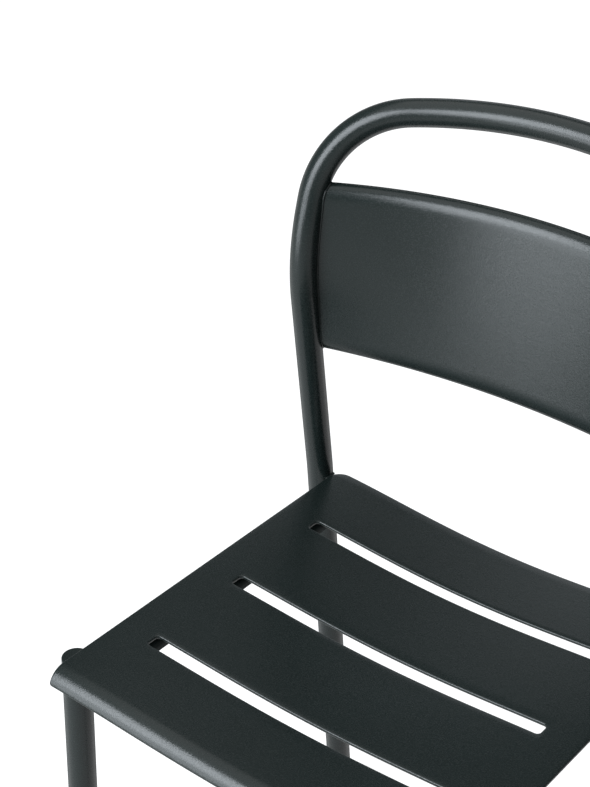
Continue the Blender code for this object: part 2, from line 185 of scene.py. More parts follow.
POWDER_COAT = coat_material("powder_coat_steel",
                            light=(0.0064, 0.0100, 0.0096), dark=(0.0044, 0.0069, 0.0065),
                            roughness=0.25, spread=0.42, grains=850.0, bump=0.00010, specular=0.25)


def sweep_group():
    """Geometry Nodes tree that sweeps a round section along the edges of a mesh."""
    tree = bpy.data.node_groups.new("round_sweep", 'GeometryNodeTree')
    face = tree.interface
    face.new_socket(name="Path", in_out='INPUT', socket_type='NodeSocketGeometry')
    for label, kind in (("Radius", 'NodeSocketFloat'), ("Sides", 'NodeSocketInt'),
                        ("Caps", 'NodeSocketBool'), ("Ripple depth", 'NodeSocketFloat'),
                        ("Ripple pitch", 'NodeSocketFloat'), ("Finish", 'NodeSocketMaterial')):
        face.new_socket(name=label, in_out='INPUT', socket_type=kind)
    face.new_socket(name="Tube", in_out='OUTPUT', socket_type='NodeSocketGeometry')
    source = node(tree, 'NodeGroupInput', (-1000, 0))
    result = node(tree, 'NodeGroupOutput', (900, 0))
    curve = node(tree, 'GeometryNodeMeshToCurve', (-750, 100))
    along = node(tree, 'GeometryNodeSplineParameter', (-1000, -300))
    turns = node(tree, 'ShaderNodeMath', (-800, -300), operation='DIVIDE')
    sine = node(tree, 'ShaderNodeMath', (-620, -300), operation='SINE')
    swell = node(tree, 'ShaderNodeMath', (-440, -300), operation='MULTIPLY_ADD')
    swell.inputs[2].default_value = 1.0
    radius = node(tree, 'GeometryNodeSetCurveRadius', (-250, 100))
    ring = node(tree, 'GeometryNodeCurvePrimitiveCircle', (-250, -150))
    sweep = node(tree, 'GeometryNodeCurveToMesh', (0, 100))
    smooth = node(tree, 'GeometryNodeSetShadeSmooth', (200, 100))
    single = node(tree, 'GeometryNodeRealizeInstances', (400, 100))
    finish = node(tree, 'GeometryNodeSetMaterial', (600, 100))
    link = tree.links.new
    link(source.outputs["Path"], curve.inputs["Mesh"])
    link(along.outputs["Length"], turns.inputs[0])
    link(source.outputs["Ripple pitch"], turns.inputs[1])
    link(turns.outputs[0], sine.inputs[0])
    link(sine.outputs[0], swell.inputs[0])
    link(source.outputs["Ripple depth"], swell.inputs[1])
    link(curve.outputs["Curve"], radius.inputs["Curve"])
    link(swell.outputs[0], radius.inputs["Radius"])
    link(source.outputs["Sides"], ring.inputs["Resolution"])
    link(source.outputs["Radius"], ring.inputs["Radius"])
    link(radius.outputs["Curve"], sweep.inputs["Curve"])
    link(ring.outputs["Curve"], sweep.inputs["Profile Curve"])
    link(source.outputs["Caps"], sweep.inputs["Fill Caps"])
    link(sweep.outputs["Mesh"], smooth.inputs["Geometry"])
    link(smooth.outputs["Geometry"], single.inputs["Geometry"])
    link(single.outputs["Geometry"], finish.inputs["Geometry"])
    link(source.outputs["Finish"], finish.inputs["Material"])
    link(finish.outputs["Geometry"], result.inputs["Tube"])
    return tree


SWEEP = sweep_group()


def swept(name, paths, radius, sides, finish, caps=False, ripple=0.0, pitch=0.001, closed=False):
    """Plain mesh object with a round section swept along each path."""
    verts, edges = [], []
    for path in paths:
        first = len(verts)
        verts += [tuple(p) for p in path]
        edges += [(first + k, first + k + 1) for k in range(len(path) - 1)]
        if closed:
            edges.append((len(verts) - 1, first))
    mesh = bpy.data.meshes.new(name)
    mesh.from_pydata(verts, edges, [])
    ob = bpy.data.objects.new(name, mesh)
    bpy.context.scene.collection.objects.link(ob)
    mod = ob.modifiers.new("sweep", 'NODES')
    mod.node_group = SWEEP
    ids = {item.name: item.identifier for item in SWEEP.interface.items_tree if item.in_out == 'INPUT'}
    for label, value in (("Radius", radius), ("Sides", sides), ("Caps", caps),
                         ("Ripple depth", ripple), ("Ripple pitch", pitch), ("Finish", finish)):
        mod[ids[label]] = value
    return plain(ob)


def plain(ob, merge=0.000005):
    """Evaluate an object to a plain welded mesh with its normals turned outwards."""
    bpy.context.view_layer.update()
    deps = bpy.context.evaluated_depsgraph_get()
    mesh = bpy.data.meshes.new_from_object(ob.evaluated_get(deps))
    ob.modifiers.clear()
    bm = bmesh.new()
    bm.from_mesh(mesh)
    bmesh.ops.transform(bm, matrix=ob.matrix_world, verts=bm.verts)
    bmesh.ops.remove_doubles(bm, verts=bm.verts, dist=merge)
    bmesh.ops.recalc_face_normals(bm, faces=bm.faces)
    bm.to_mesh(mesh)
    bm.free()
    old, name = ob.data, ob.name
    ob.data = mesh
    ob.matrix_world = Matrix.Identity(4)
    if isinstance(old, bpy.types.Mesh):
        bpy.data.meshes.remove(old)
    mesh.name = name
    return ob


def walled(ob, wall):
    """Give an open tube or sheet its wall, inwards from the surface that shows."""
    shell = ob.modifiers.new("wall", 'SOLIDIFY')
    shell.thickness = wall
    shell.offset = -1.0
    shell.use_even_offset = True
    return plain(ob)


def turned(v, axis, angle):
    """A direction turned about an axis."""
    return np.array(Matrix.Rotation(angle, 3, Vector(axis)) @ Vector(v))


def bend(start, direction, axis, radius, angle, steps):
    """Points along a bend that leaves start along direction; also the direction it ends in."""
    points, d = [], direction
    for _ in range(steps):
        after = turned(d, axis, angle / steps)
        chord = 2 * radius * math.sin(angle / steps / 2)
        start = start + (d + after) / np.linalg.norm(d + after) * chord
        d = after
        points.append(start)
    return points, d


def hoop_line():
    """Left half of the hoop's centre line, foot to middle of the top rail, seat middle at y = 0."""
    leg = np.array([0.0, -math.tan(REAR_LEG_LEAN), 1.0])
    up = np.array([-math.tan(UPRIGHT_SPLAY), -math.tan(UPRIGHT_LEAN), 1.0])
    leg, up = leg / np.linalg.norm(leg), up / np.linalg.norm(up)
    base = np.array([-HOOP_X, HOOP_Y, SEAT_HEIGHT])
    axis = np.cross(leg, up)
    angle = math.asin(np.linalg.norm(axis))
    half = SEAT_BEND_R * math.tan(angle / 2)
    foot = base - leg * (SEAT_HEIGHT - GLIDE_PAD) / leg[2]
    low = base - leg * half
    points = [foot + (low - foot) * k / LEG_STEPS for k in range(LEG_STEPS + 1)]
    more, d = bend(points[-1], leg, axis, SEAT_BEND_R, angle, LEG_STEPS)
    points += more
    start, rise = points[-1], d * (UPRIGHT_STRAIGHT - half)
    points += [start + rise * k / UPRIGHT_STEPS for k in range(1, UPRIGHT_STEPS + 1)]
    more, d = bend(points[-1], d, (-1.0, 0.0, 0.0), BACK_BEND_R, BACK_BEND, BACK_BEND_STEPS)
    points += more
    points.append(points[-1] + d * UPRIGHT_TOP)
    side = np.array([1.0, 0.0, 0.0])
    back = np.array([0.0, math.cos(RAIL_RISE), math.sin(RAIL_RISE)])
    sine, cosine = math.sin(RAIL_BOW), math.cos(RAIL_BOW)
    into = cosine * side + sine * back
    axis = np.cross(d, into)
    angle = math.atan2(np.linalg.norm(axis), float(d @ into))
    more, d = bend(points[-1], d, axis, CORNER_R, angle, CORNER_STEPS)
    points += more
    start = points[-1]
    radius = -start[0] / sine
    for k in range(1, RAIL_STEPS + 1):
        a = RAIL_BOW * (1 - k / RAIL_STEPS)
        points.append(start + radius * ((sine - math.sin(a)) * side + (math.cos(a) - cosine) * back))
    points[-1][0] = 0.0
    return np.array(points)


LEFT_LINE = hoop_line()
TO_FRAME = np.array([0.0, SEAT_MIDDLE_Y, 0.0])
MIRROR = np.array([-1.0, 1.0, 1.0])
whole_line = np.vstack([LEFT_LINE, (LEFT_LINE * MIRROR)[-2::-1]]) + TO_FRAME
back_hoop = walled(swept("hoop_tube", [whole_line], TUBE_R, TUBE_SIDES, POWDER_COAT), TUBE_WALL)
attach(back_hoop, "root")
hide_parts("back_hoop")

# Front legs
# Two straight lengths of the same tube. Each top is closed with a small disc that is welded in,
# ground flush and coated, so that the end looks like one flat face with a soft edge.
FRONT_LEG_X = SEAT_HALF_WIDTH - 0.0002
FRONT_LEG_Y = -SEAT_DEPTH / 2 + 0.0333
FRONT_LEG_LEAN = math.radians(2.0)
LEG_BELOW_EDGE = 0.0042
SEAT_TILT = math.radians(2.07)
CAP_T = 0.0025
CAP_EDGE_R = 0.0011
CAP_EDGE_STEPS = 6
CAP_RING_SHARE = 0.6


def seat_edge_z(y):
    """Top of the sheet along its side edges."""
    return SEAT_HEIGHT - math.tan(SEAT_TILT) * y


def lathed(name, profile, foot, lean, sides, finish):
    """Turned piece: a profile of (radius, height) pairs spun round a leaning axis."""
    mesh = bpy.data.meshes.new(name)
    mesh.from_pydata([(x, 0.0, z) for x, z in profile], [(i, i + 1) for i in range(len(profile) - 1)], [])
    ob = bpy.data.objects.new(name, mesh)
    bpy.context.scene.collection.objects.link(ob)
    spin = ob.modifiers.new("spin", 'SCREW')
    spin.steps = spin.render_steps = sides
    spin.use_merge_vertices = True
    spin.merge_threshold = 0.00001
    ob.matrix_world = Matrix.Translation(foot) @ Matrix.Rotation(lean, 4, 'X')
    plain(ob)
    ob.data.materials.append(finish)
    ob.data.shade_smooth()
    return ob


leg_top_z = seat_edge_z(FRONT_LEG_Y) - LEG_BELOW_EDGE
leg_length = (leg_top_z - GLIDE_PAD) / math.cos(FRONT_LEG_LEAN)
bore = TUBE_R - TUBE_WALL
leg_profile = [(bore, 0.0), (TUBE_R, 0.0), (TUBE_R, leg_length / 2), (TUBE_R, leg_length - CAP_EDGE_R)]
for k in range(1, CAP_EDGE_STEPS + 1):
    a = math.pi / 2 * k / CAP_EDGE_STEPS
    leg_profile.append((TUBE_R - CAP_EDGE_R * (1 - math.cos(a)), leg_length - CAP_EDGE_R * (1 - math.sin(a))))
leg_profile += [(TUBE_R * CAP_RING_SHARE, leg_length), (0.0, leg_length), (0.0, leg_length - CAP_T),
                (bore, leg_length - CAP_T), (bore, 0.0)]
front_foot_y = FRONT_LEG_Y - math.tan(FRONT_LEG_LEAN) * (leg_top_z - GLIDE_PAD)
for side, word in ((-1, "left"), (1, "right")):
    leg = lathed("front_leg_tube_" + word, leg_profile,
                 (side * FRONT_LEG_X, front_foot_y + SEAT_MIDDLE_Y, GLIDE_PAD), -FRONT_LEG_LEAN,
                 TUBE_SIDES, POWDER_COAT)
    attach(leg, "root")
    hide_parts("front_leg_" + word, "leg_cap_" + word)

# Rails under the seat
# A ladder of 22 mm tubes that carries the sheet: one cross rail between the front legs, one between
# the rear legs, and two side rails that end on the cross rails. All joints are welded. The tubes are cut
# square here, so their ends stop a few millimetres short of the solids' saddled ends. They wear the same
# powder coat as the rest, but here their coat gets a darker colour and much less gloss as painted shade,
# so that they look almost black through the slots, as if deep in the seat's shadow.
SHADED_RAIL_COAT = coat_material("painted_shade_coat_steel",
                          light=(0.0040, 0.0078, 0.0076), dark=(0.0026, 0.0052, 0.0050),
                          roughness=0.50, spread=0.20, grains=900.0, bump=0.00010, specular=0.04)
RAIL_R = 0.011
RAIL_WALL = 0.002
RAIL_SIDES = 48
RAIL_LENGTH_STEPS = 20
CROSS_RAIL_BITE = 0.0016
SIDE_RAIL_TOUCH = 0.2
SADDLE_SHARE = 0.6
SHEET_T = 0.0035
DISH = 0.0097
DISH_TAPER = 0.257
DISH_SHAPE = (-0.695, -0.10)
SIDE_RAIL_X = FRONT_LEG_X - TUBE_R - RAIL_R - WELD_GAP


def seat_dish(x, y):
    """Depth of the hollow in the sheet; x and y may be arrays."""
    u2 = (x / SEAT_HALF_WIDTH) ** 2
    k1, k2 = DISH_SHAPE
    depth = DISH * (1 + DISH_TAPER * y / (SEAT_DEPTH / 2))
    return depth * (1 - u2) * (1 + k1 * u2 + k2 * u2 * u2)


def under_sheet(x, y):
    """Centre height of a rail that just clears the sheet above it."""
    return seat_edge_z(y) - seat_dish(x, y) - SHEET_T - WELD_GAP - RAIL_R


def saddle_ring(centre, along, radius, other, other_along, other_radius, sides=72):
    """Closed line on which a tube that runs from centre in the direction along leaves another tube."""
    along = np.array(along) / np.linalg.norm(along)
    other_along = np.array(other_along) / np.linalg.norm(other_along)
    across = np.cross(along, (0.0, 0.0, 1.0))
    across /= np.linalg.norm(across)
    rise = np.cross(across, along)
    ring = []
    for k in range(sides):
        t = 2 * math.pi * k / sides
        start = np.array(centre) + radius * (math.cos(t) * across + math.sin(t) * rise)
        gap = start - np.array(other)
        gap = gap - other_along * (gap @ other_along)
        way = along - other_along * (along @ other_along)
        a, b, c = way @ way, gap @ way, gap @ gap - other_radius ** 2
        ring.append(start + along * ((-b + math.sqrt(max(b * b - a * c, 0.0))) / a))
    return ring


below = DISH + SHEET_T + RAIL_R
front_y = FRONT_LEG_Y - math.tan(FRONT_LEG_LEAN) * below
rear_y = HOOP_Y + math.tan(REAR_LEG_LEAN) * below
front_z = under_sheet(0.0, front_y + RAIL_R)
rear_z = under_sheet(0.0, SEAT_DEPTH / 2)
ALONG_X = np.array([1.0, 0.0, 0.0])
front_lean = np.array([0.0, math.tan(FRONT_LEG_LEAN), 1.0])
rear_lean = np.array([0.0, -math.tan(REAR_LEG_LEAN), 1.0])
rail_rings = []
for word, leg_x, y, z, lean in (("front", FRONT_LEG_X, front_y, front_z, front_lean),
                                ("rear", HOOP_X, rear_y, rear_z, rear_lean)):
    reach = leg_x - TUBE_R + CROSS_RAIL_BITE
    line = [np.array([reach * (2 * k / RAIL_LENGTH_STEPS - 1), y, z]) + TO_FRAME
            for k in range(RAIL_LENGTH_STEPS + 1)]
    rail = walled(swept(word + "_cross_rail_tube", [line], RAIL_R, RAIL_SIDES, SHADED_RAIL_COAT), RAIL_WALL)
    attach(rail, "root")
    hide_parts(word + "_cross_rail")
    for side in (-1, 1):
        here = np.array([side * leg_x, y, z]) + TO_FRAME
        rail_rings.append(saddle_ring(here, -side * ALONG_X, RAIL_R, here, lean, TUBE_R))
touch_x = SIDE_RAIL_X - SIDE_RAIL_TOUCH * RAIL_R
for side, word in ((-1, "left"), (1, "right")):
    ends = [np.array([side * SIDE_RAIL_X, y, under_sheet(touch_x, y)]) + TO_FRAME for y in (front_y, rear_y)]
    way = (ends[1] - ends[0]) / np.linalg.norm(ends[1] - ends[0])
    start, stop = ends[0] + way * RAIL_R * SADDLE_SHARE, ends[1] - way * RAIL_R * SADDLE_SHARE
    line = [start + (stop - start) * k / RAIL_LENGTH_STEPS for k in range(RAIL_LENGTH_STEPS + 1)]
    rail = walled(swept("side_rail_tube_" + word, [line], RAIL_R, RAIL_SIDES, SHADED_RAIL_COAT), RAIL_WALL)
    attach(rail, "root")
    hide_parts("side_rail_" + word)
    for end, inwards, cross_z in ((ends[0], way, front_z), (ends[1], -way, rear_z)):
        rail_rings.append(saddle_ring(end, inwards, RAIL_R, (0.0, end[1], cross_z), ALONG_X, RAIL_R))

# Seat sheet
# One piece of 3.5 mm sheet steel, cut with three long slots, pressed into a shallow dish and rolled
# down along its front edge. It lies on the rails and is welded to the legs along its sides.
LIP_R = 0.018
LIP_ANGLE = math.radians(76.5)
REAR_CORNER_R = 0.015
FRONT_CORNER_R = 0.003
SLOT_PITCH = 0.28 * SEAT_DEPTH
SLOT_MIDDLE_Y = 0.0012
SLOT_WIDTH = 0.0137
SLOT_MARGIN = 0.0357
SLOT_CORNER_R = 0.0035
SEAT_EDGE_R = 0.0014
CORNER_ARC_STEPS = 14
SLOT_ARC_STEPS = 8
SEAT_CELLS_ACROSS = 72
SEAT_CELLS_DEEP = 36
LIP_CELLS = 20
EDGE_ARC_STEPS = 4
SHARP_ANGLE = math.radians(45.0)
FLAT_ANGLE = math.radians(0.5)
RIM_ANGLE = math.radians(60.0)
BLANK_MERGE = 1e-6
LEVEL_TOLERANCE = 1e-7
LIP_START_Y = -SEAT_DEPTH / 2 + LIP_R * math.sin(LIP_ANGLE)


def rounded_outline(x_half, y0, y1, front_r, rear_r, steps):
    """Rectangle with rounded corners, from its front left corner round to its rear left one."""
    out = []
    corners = ((-x_half, y0, 180.0, front_r), (x_half, y0, 270.0, front_r),
               (x_half, y1, 0.0, rear_r), (-x_half, y1, 90.0, rear_r))
    for cx, cy, start, r in corners:
        ox = cx - math.copysign(r, cx)
        oy = cy + r if cy == y0 else cy - r
        for k in range(steps + 1):
            a = math.radians(start + 90.0 * k / steps)
            out.append((ox + r * math.cos(a), oy + r * math.sin(a)))
    return out


def formed_sheet(name, outlines, thickness, edge_r, lines_x, lines_y, form, finish):
    """Cut a flat blank, round its edges, score it finely and press every point to its place."""
    curve = bpy.data.curves.new(name, 'CURVE')
    curve.dimensions = '2D'
    curve.fill_mode = 'BOTH'
    curve.extrude = thickness / 2
    for outline in outlines:
        spline = curve.splines.new('POLY')
        spline.use_cyclic_u = True
        spline.points.add(len(outline) - 1)
        for target, (x, y) in zip(spline.points, outline):
            target.co = (x, y, 0.0, 1.0)
    blank = bpy.data.objects.new(name, curve)
    bpy.context.scene.collection.objects.link(blank)
    bpy.context.view_layer.update()
    deps = bpy.context.evaluated_depsgraph_get()
    mesh = bpy.data.meshes.new_from_object(blank.evaluated_get(deps))
    bpy.data.objects.remove(blank, do_unlink=True)
    bm = bmesh.new()
    bm.from_mesh(mesh)
    bmesh.ops.remove_doubles(bm, verts=bm.verts, dist=BLANK_MERGE)
    bmesh.ops.recalc_face_normals(bm, faces=bm.faces)
    bmesh.ops.translate(bm, verts=bm.verts, vec=(0.0, 0.0, -thickness / 2))
    bmesh.ops.dissolve_limit(bm, angle_limit=FLAT_ANGLE, verts=bm.verts, edges=bm.edges)
    rim = [e for e in bm.edges
           if abs(e.verts[0].co.z - e.verts[1].co.z) < LEVEL_TOLERANCE and e.calc_face_angle() > RIM_ANGLE]
    bmesh.ops.bevel(bm, geom=rim, offset=edge_r, segments=EDGE_ARC_STEPS, affect='EDGES', profile=0.5)
    for axis, places in ((0, lines_x), (1, lines_y)):
        normal = Vector((0.0, 0.0, 0.0))
        normal[axis] = 1.0
        for place in places:
            bmesh.ops.bisect_plane(bm, geom=bm.verts[:] + bm.edges[:] + bm.faces[:],
                                   plane_co=normal * place, plane_no=normal, dist=LEVEL_TOLERANCE)
    bmesh.ops.triangulate(bm, faces=bm.faces)
    placed = form(np.array([v.co for v in bm.verts]))
    for v, p in zip(bm.verts, placed):
        v.co = p
    bm.to_mesh(mesh)
    bm.free()
    mesh.materials.clear()
    mesh.materials.append(finish)
    mesh.shade_smooth()
    mesh.set_sharp_from_angle(angle=SHARP_ANGLE)
    sheet = bpy.data.objects.new(name, mesh)
    bpy.context.scene.collection.objects.link(sheet)
    return sheet


def press_seat(flat):
    """Formed place of points of the blank, whose top lies at height 0."""
    x, v, w = flat.T
    a = np.maximum(0.0, (LIP_START_Y - v) / LIP_R)
    y = np.maximum(v, LIP_START_Y) - (LIP_R + w) * np.sin(a)
    z = (LIP_R + w) * np.cos(a) - LIP_R
    return np.stack([x, y + SEAT_MIDDLE_Y, seat_edge_z(y) + z - seat_dish(x, y)], 1)


blank_front = LIP_START_Y - LIP_R * LIP_ANGLE
seat_outlines = [rounded_outline(SEAT_HALF_WIDTH, blank_front, SEAT_DEPTH / 2,
                                 FRONT_CORNER_R, REAR_CORNER_R, CORNER_ARC_STEPS)]
for k in (-1, 0, 1):
    y = SLOT_MIDDLE_Y + k * SLOT_PITCH
    front, rear = y - SLOT_WIDTH / 2, y + SLOT_WIDTH / 2
    seat_outlines.append(rounded_outline(SEAT_HALF_WIDTH - SLOT_MARGIN, front, rear,
                                         SLOT_CORNER_R, SLOT_CORNER_R, SLOT_ARC_STEPS))
seat_lines_x = [SEAT_HALF_WIDTH * (2 * k / SEAT_CELLS_ACROSS - 1) for k in range(1, SEAT_CELLS_ACROSS)]
seat_lines_y = [LIP_START_Y - LIP_R * LIP_ANGLE * k / LIP_CELLS for k in range(LIP_CELLS)]
seat_lines_y += [LIP_START_Y + (SEAT_DEPTH / 2 - LIP_START_Y) * k / SEAT_CELLS_DEEP
                 for k in range(1, SEAT_CELLS_DEEP)]
seat = formed_sheet("seat_plate", seat_outlines, SHEET_T, SEAT_EDGE_R, seat_lines_x, seat_lines_y,
                    press_seat, POWDER_COAT)
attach(seat, "root")
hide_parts("seat_sheet")

# Back panel
# A band of 2.5 mm sheet steel, bowed in plan. Its middle stands straight and its ends follow the bend
# of the uprights part of the way. Its long edges are rolled back, and its ends are coped to the round
# of the tubes and welded to them.
PANEL_T = 0.0025
PANEL_DROP = 0.0747
PANEL_HEIGHT = 0.1663
PANEL_FORWARD_LOW = 0.0020
PANEL_FORWARD_HIGH = 0.0107
PANEL_STRAIGHTER = 0.55
PANEL_BOW_LOW = 0.0310
PANEL_BOW_HIGH = 0.0591
ROLL_LENGTH = 0.024
ROLL_ANGLE = math.radians(80.0)
ROLL_EASE = 2.2
PANEL_EDGE_R = 0.0006
PANEL_END_SHARE = 0.4
UPRIGHT_SHARE = 0.75
PANEL_CELLS_ACROSS = 96
PANEL_CELLS_HIGH = 30
ROLL_CELLS = 16
ROLL_SAMPLES = 400
COPE_BITE = 0.0004
SLOPE_STEP = 0.0005
SLOPE_SHARE = 0.01
TANGENT_STEP = 0.0004
panel_top = LEFT_LINE[-1][2] - SEAT_HEIGHT - PANEL_DROP
panel_bottom = panel_top - PANEL_HEIGHT
roll_arc = np.linspace(0.0, ROLL_LENGTH, ROLL_SAMPLES)
roll_turn = ROLL_ANGLE * (roll_arc / ROLL_LENGTH) ** ROLL_EASE
roll_rise = np.cumsum(np.cos(roll_turn)) * roll_arc[1]
roll_back = np.cumsum(np.sin(roll_turn)) * roll_arc[1]
body_low, body_high = panel_bottom + roll_rise[-1], panel_top - roll_rise[-1]
upright_points = LEFT_LINE[LEFT_LINE[:, 0] < -UPRIGHT_SHARE * HOOP_X]


def panel_face(u, z):
    """Front face of the panel's body at heights z above the seat; u is -1 to 1 between the tubes."""
    heights = upright_points[:, 2] - SEAT_HEIGHT
    cx = np.interp(z, heights, upright_points[:, 0])
    cy = np.interp(z, heights, upright_points[:, 1])
    share = (z - panel_bottom) / PANEL_HEIGHT
    low_y, high_y = np.interp([panel_bottom, panel_top], heights, upright_points[:, 1])
    chord = low_y + (high_y - low_y) * share
    forward = PANEL_FORWARD_LOW + (PANEL_FORWARD_HIGH - PANEL_FORWARD_LOW) * share
    end = cy - forward + PANEL_STRAIGHTER * (chord - cy)
    middle = chord - forward + PANEL_BOW_LOW + (PANEL_BOW_HIGH - PANEL_BOW_LOW) * share
    sag = middle - end
    radius = (cx ** 2 + sag ** 2) / (2 * sag)
    x = -cx * u
    y = end + np.sqrt(radius ** 2 - x ** 2) - (radius - sag)
    return np.stack([x, y, z + SEAT_HEIGHT], -1)


def panel_surface(u, v):
    """Front face along the developed height v, with the long edges rolled back."""
    z = np.clip(v, body_low, body_high)
    rise = np.interp(abs(v - z), roll_arc, roll_rise - roll_rise[0]) * np.sign(v - z)
    turned_back = np.interp(abs(v - z), roll_arc, roll_back)
    base = panel_face(u, z)
    up = panel_face(u, z + SLOPE_STEP) - panel_face(u, z - SLOPE_STEP)
    side = panel_face(u + SLOPE_SHARE, z) - panel_face(u - SLOPE_SHARE, z)
    back = np.cross(up, side)
    back *= (np.sign(back[..., 1]) / np.linalg.norm(back, axis=-1))[..., None]
    up /= np.linalg.norm(up, axis=-1)[..., None]
    return base + rise[..., None] * up + turned_back[..., None] * back


def press_panel(flat):
    """Formed place of points of the panel's blank; its front face lies at height 0."""
    u, v, w = flat[:, 0] / HOOP_X, flat[:, 1], flat[:, 2]
    step = TANGENT_STEP
    rise = panel_surface(u, v + step) - panel_surface(u, v - step)
    side = panel_surface(u + step, v) - panel_surface(u - step, v)
    front = np.cross(side, rise)
    front /= np.linalg.norm(front, axis=1)[:, None]
    return panel_surface(u, v) + front * w[:, None] + TO_FRAME


blank_low, blank_high = body_low - ROLL_LENGTH, body_high + ROLL_LENGTH
blank_half = HOOP_X - PANEL_END_SHARE * TUBE_R
panel_outline = [(-blank_half, blank_low), (blank_half, blank_low), (blank_half, blank_high),
                 (-blank_half, blank_high)]
panel_lines_x = [blank_half * (2 * k / PANEL_CELLS_ACROSS - 1) for k in range(1, PANEL_CELLS_ACROSS)]
panel_lines_y = [body_low - ROLL_LENGTH * k / ROLL_CELLS for k in range(ROLL_CELLS)]
panel_lines_y += [body_low + (body_high - body_low) * k / PANEL_CELLS_HIGH
                  for k in range(1, PANEL_CELLS_HIGH)]
panel_lines_y += [body_high + ROLL_LENGTH * k / ROLL_CELLS for k in range(ROLL_CELLS)]
panel = formed_sheet("back_panel_plate", [panel_outline], PANEL_T, PANEL_EDGE_R,
                     panel_lines_x, panel_lines_y, press_panel, POWDER_COAT)
cope = swept("cope_cutter", [whole_line], TUBE_R - COPE_BITE, TUBE_SIDES, POWDER_COAT, caps=True)
cut = panel.modifiers.new("cope", 'BOOLEAN')
cut.operation = 'DIFFERENCE'
cut.solver = 'EXACT'
cut.object = cope
plain(panel)
bpy.data.objects.remove(cope, do_unlink=True)
panel.data.set_sharp_from_angle(angle=SHARP_ANGLE)
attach(panel, "root")
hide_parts("back_panel")

# Welds
# Thin fillets run where the sheets and rails meet the tubes. They are brushed and coated over with
# the rest, so only a soft ripple is left in them.
BEAD_R = 0.0011
RING_BEAD_R = 0.00143
BEAD_SIDES = 12
RIPPLE = 0.06
RIPPLE_PITCH = 0.00035
SEAT_BEAD_DROP = 0.0012
REAR_BEAD_HALF = 0.006
FRONT_BEAD_HALF = 0.011
BEAD_END_GAP = 0.001
PANEL_BEAD_POINTS = 120
JOINT_SEARCH = 0.03
HALVINGS = 24


def distance_to_line(points, line):
    """Least distance of each point to a centre line."""
    seg = line[1:] - line[:-1]
    rel = points[:, None, :] - line[None, :-1, :]
    t = np.clip((rel * seg[None]).sum(2) / (seg ** 2).sum(1)[None], 0.0, 1.0)
    return np.sqrt(((rel - seg[None] * t[..., None]) ** 2).sum(2)).min(1)


def panel_joint(depth):
    """Line on which a face of the panel, depth behind its front, meets the left tube."""
    v = np.linspace(blank_low + BEAD_END_GAP, blank_high - BEAD_END_GAP, PANEL_BEAD_POINTS)
    low, high = np.full(len(v), -blank_half), np.full(len(v), -blank_half + JOINT_SEARCH)
    for _ in range(HALVINGS):
        mid = (low + high) / 2
        here = press_panel(np.stack([mid, v, np.full(len(v), -depth)], 1)) - TO_FRAME
        inside = distance_to_line(here, LEFT_LINE) < TUBE_R
        low, high = np.where(inside, mid, low), np.where(inside, high, mid)
    return press_panel(np.stack([(low + high) / 2, v, np.full(len(v), -depth)], 1))


panel_beads = []
for depth in (0.0, PANEL_T):
    line = panel_joint(depth)
    panel_beads += [line, line * MIRROR]
bead = swept("panel_welds", panel_beads, BEAD_R, BEAD_SIDES, POWDER_COAT, caps=True,
             ripple=RIPPLE, pitch=RIPPLE_PITCH)
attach(bead, "root")

ring_bead = swept("rail_welds", rail_rings, RING_BEAD_R, BEAD_SIDES, POWDER_COAT,
                  ripple=RIPPLE, pitch=RIPPLE_PITCH, closed=True)
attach(ring_bead, "root")

seat_beads = []
for side in (-1, 1):
    for middle_y, half_length, below_top, steps in ((HOOP_Y, REAR_BEAD_HALF, SEAT_BEAD_DROP, 40),
                                                    (HOOP_Y, REAR_BEAD_HALF, SHEET_T, 40),
                                                    (FRONT_LEG_Y, FRONT_BEAD_HALF, SHEET_T, 60)):
        x = side * (SEAT_HALF_WIDTH + WELD_GAP)
        seat_beads.append([(x, y + SEAT_MIDDLE_Y, seat_edge_z(y) - below_top)
                           for y in np.linspace(middle_y - half_length, middle_y + half_length, steps)])
bead = swept("seat_welds", seat_beads, BEAD_R, BEAD_SIDES, POWDER_COAT, caps=True,
             ripple=RIPPLE, pitch=RIPPLE_PITCH)
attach(bead, "root")

# Foot glides
# Moulded plastic plugs, pressed into the open tube ends. Each has a pad as wide as the tube, with a
# sole that is flat on the floor although the leg leans.
PLUG_LENGTH = 0.018
PLUG_LEAD = 0.0015
PAD_EDGE = 0.0012
PAD_RIM = 0.0004
PAD_SHARP_ANGLE = math.radians(40.0)
GLIDE_PLASTIC = coat_material("glide_plastic",
                              light=(0.016, 0.016, 0.016), dark=(0.010, 0.010, 0.010),
                              roughness=0.55, spread=0.12, grains=1400.0, bump=0.00003, specular=0.4)


